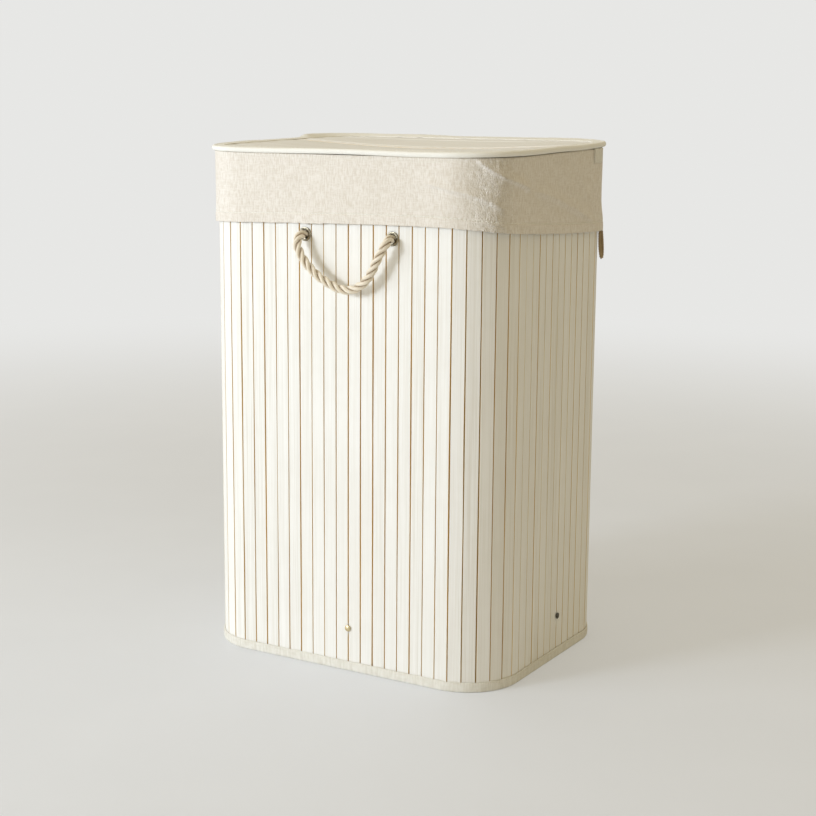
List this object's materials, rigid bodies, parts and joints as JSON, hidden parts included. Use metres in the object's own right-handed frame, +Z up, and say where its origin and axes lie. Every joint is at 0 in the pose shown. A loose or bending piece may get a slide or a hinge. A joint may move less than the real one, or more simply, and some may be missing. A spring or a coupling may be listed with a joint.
{
  "type": "laundry hamper with lid",
  "caption": "Upright laundry hamper with a wall of bamboo slats, a loose cloth liner turned down over the rim, a hinged slatted lid and rope handles at front and back.",
  "frame": {"origin": "middle of the base, on the floor", "axes": "+Z up, -Y out of the front, +X to the right seen from the front"},
  "size_m": [0.407, 0.3466, 0.6031],
  "materials": {
    "painted_bamboo": "whitewashed split bamboo, satin, brown where the raw edges show",
    "raw_bamboo": "bare bamboo lath, matt",
    "board": "bare fibre board, matt",
    "backing_cloth": "plain woven cotton, tan",
    "liner_linen": "slubby linen and cotton weave, natural beige",
    "white_tape": "woven cotton binding tape, off-white, with a row of stitches",
    "rope": "three-strand twisted natural rope",
    "steel": "nickel-plated, slightly dull",
    "brass": "dull brass"
  },
  "bodies": {
    "basket": {"front_slats": "painted_bamboo", "right_slats": "painted_bamboo", "back_slats": "painted_bamboo", "left_slats": "painted_bamboo", "front_right_slats": "painted_bamboo", "back_right_slats": "painted_bamboo", "back_left_slats": "painted_bamboo", "front_left_slats": "painted_bamboo", "wall_backing": "backing_cloth", "bottom_tape": "white_tape", "top_tape": "white_tape", "lower_hoop": "raw_bamboo", "upper_hoop": "raw_bamboo", "lower_screws": "brass", "upper_screws": "brass", "lower_nuts": "steel", "upper_nuts": "steel", "base_cloth": "backing_cloth", "base_board": "board", "front_eyelets": "steel", "back_eyelets": "steel", "front_eyelet_washers": "steel", "back_eyelet_washers": "steel", "front_rope_ends": "rope", "back_rope_ends": "rope", "liner_bag": "liner_linen", "liner_cuff": "liner_linen", "liner_pull": "rope", "hinge_straps": "white_tape"},
    "lid": {"lid_tape": "white_tape", "lid_wire": "steel", "lid_slats": "painted_bamboo", "lid_backing": "backing_cloth", "lid_strap_ends": "white_tape", "lid_tab": "white_tape"},
    "front_handle": {"front_rope": "rope"},
    "back_handle": {"back_rope": "rope"}
  },
  "joints": [
    {"name": "lid_hinge", "type": "hinge", "parent": "basket", "child": "lid", "pos_m": [0, 0.1588, 0.597], "axis": [-1, 0, 0], "range_deg": [0, 110]},
    {"name": "front_handle_swing", "type": "hinge", "parent": "basket", "child": "front_handle", "pos_m": [0.0122, -0.165, 0.501], "axis": [-1, 0, 0], "range_deg": [0, 150]},
    {"name": "back_handle_swing", "type": "hinge", "parent": "basket", "child": "back_handle", "pos_m": [-0.0041, 0.165, 0.501], "axis": [1, 0, 0], "range_deg": [0, 150]}
  ]
}
